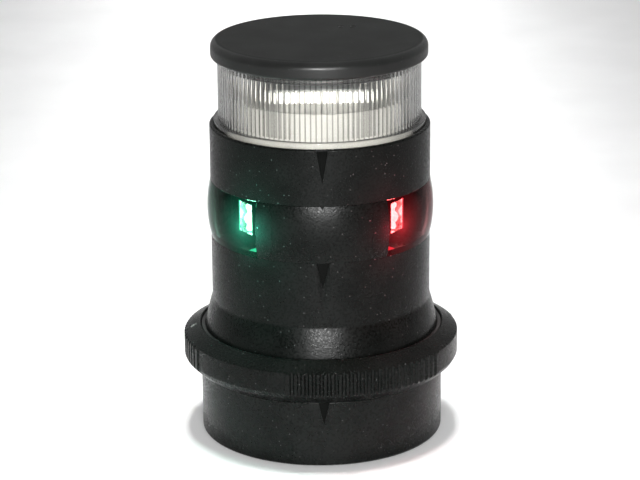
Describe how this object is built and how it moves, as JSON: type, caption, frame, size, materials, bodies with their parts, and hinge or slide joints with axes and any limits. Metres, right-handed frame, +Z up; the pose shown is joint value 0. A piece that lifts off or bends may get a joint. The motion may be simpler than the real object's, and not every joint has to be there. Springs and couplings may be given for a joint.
{
  "type": "combined navigation light",
  "caption": "Cylindrical boat light with red, green and white sector windows and a ribbed all-round lens on top, held on its base by a twist-lock ring.",
  "frame": {"origin": "centre of the mounting face at the bottom of the base", "axes": "+Z up along the light's axis, dead ahead is -Y, the green starboard window faces -X and the red port window faces +X"},
  "size_m": [0.0837, 0.0839, 0.122],
  "materials": {
    "black_plastic": "moulded black plastic with a fine grain, satin",
    "cap_plastic": "moulded black plastic, slightly worn matt top",
    "rubber": "matt black rubber",
    "block_plastic": "moulded dark plastic",
    "contact_brass": "plated brass",
    "screw_steel": "stainless steel",
    "spring_steel": "drawn spring wire",
    "board_green": "green solder mask",
    "component_dark": "moulded component bodies",
    "heat_sink_metal": "plain aluminium",
    "green_lens": "clear dark green tint, polished",
    "red_lens": "clear dark red tint, polished",
    "stern_lens": "clear, polished",
    "anchor_lens": "clear with vertical ribs",
    "reflector_metal": "metallised plastic",
    "led_board_white": "white solder mask",
    "green_led": "lit green LED",
    "red_led": "lit red LED",
    "white_led": "lit white LED",
    "white_plastic": "white moulded plastic"
  },
  "bodies": {
    "base": {"base_cup": "black_plastic", "base_gasket": "rubber", "cable_grommet": "rubber", "contact_block": "block_plastic", "block_screws": "screw_steel", "contact_strips": "contact_brass", "contact_spring_common": "spring_steel", "contact_spring_sectors": "spring_steel", "contact_spring_anchor": "spring_steel", "terminals": "contact_brass", "terminal_screws": "screw_steel"},
    "ring": {"locking_ring": "black_plastic"},
    "head": {"lower_housing": "black_plastic", "bottom_plate": "black_plastic", "contact_studs": "contact_brass", "neck_o_ring": "rubber", "skirt_seal": "rubber", "driver_board": "board_green", "driver_components": "component_dark", "board_screws": "screw_steel", "heat_sink": "heat_sink_metal", "sector_core": "black_plastic", "starboard_lens": "green_lens", "port_lens": "red_lens", "stern_lens": "stern_lens", "starboard_reflector": "reflector_metal", "port_reflector": "reflector_metal", "stern_reflector": "reflector_metal", "starboard_led_board": "led_board_white", "port_led_board": "led_board_white", "stern_led_board": "led_board_white", "starboard_led": "green_led", "port_led": "red_led", "stern_led": "white_led", "starboard_cutoff_screen": "black_plastic", "port_cutoff_screen": "black_plastic", "front_shield": "black_plastic", "lower_module_seal": "rubber", "upper_module_seal": "rubber", "through_screws": "screw_steel", "upper_housing": "black_plastic", "anchor_lens": "anchor_lens", "anchor_lens_seal": "rubber", "anchor_reflector": "white_plastic", "anchor_led_carrier": "heat_sink_metal", "anchor_led_boards": "led_board_white", "anchor_leds": "white_led", "top_cap": "cap_plastic", "cap_seal": "rubber"},
    "pin_common": {"contact_pin_common": "contact_brass"},
    "pin_sectors": {"contact_pin_sectors": "contact_brass"},
    "pin_anchor": {"contact_pin_anchor": "contact_brass"}
  },
  "joints": [
    {"name": "ring_turn", "type": "hinge", "parent": "base", "child": "ring", "pos_m": [0, 0, 0], "axis": [0, 0, -1], "range_deg": [0, 42]},
    {"name": "head_lift", "type": "slide", "parent": "base", "child": "head", "axis": [0, 0, 1], "range_m": [0, 0.035]},
    {"name": "pin_common_press", "type": "slide", "parent": "base", "child": "pin_common", "axis": [0, 0, -1], "range_m": [0, 0.0015], "stiffness_N_per_m": 400, "deforming": ["contact_spring_common"]},
    {"name": "pin_sectors_press", "type": "slide", "parent": "base", "child": "pin_sectors", "axis": [0, 0, -1], "range_m": [0, 0.0015], "stiffness_N_per_m": 400, "deforming": ["contact_spring_sectors"]},
    {"name": "pin_anchor_press", "type": "slide", "parent": "base", "child": "pin_anchor", "axis": [0, 0, -1], "range_m": [0, 0.0015], "stiffness_N_per_m": 400, "deforming": ["contact_spring_anchor"]}
  ]
}
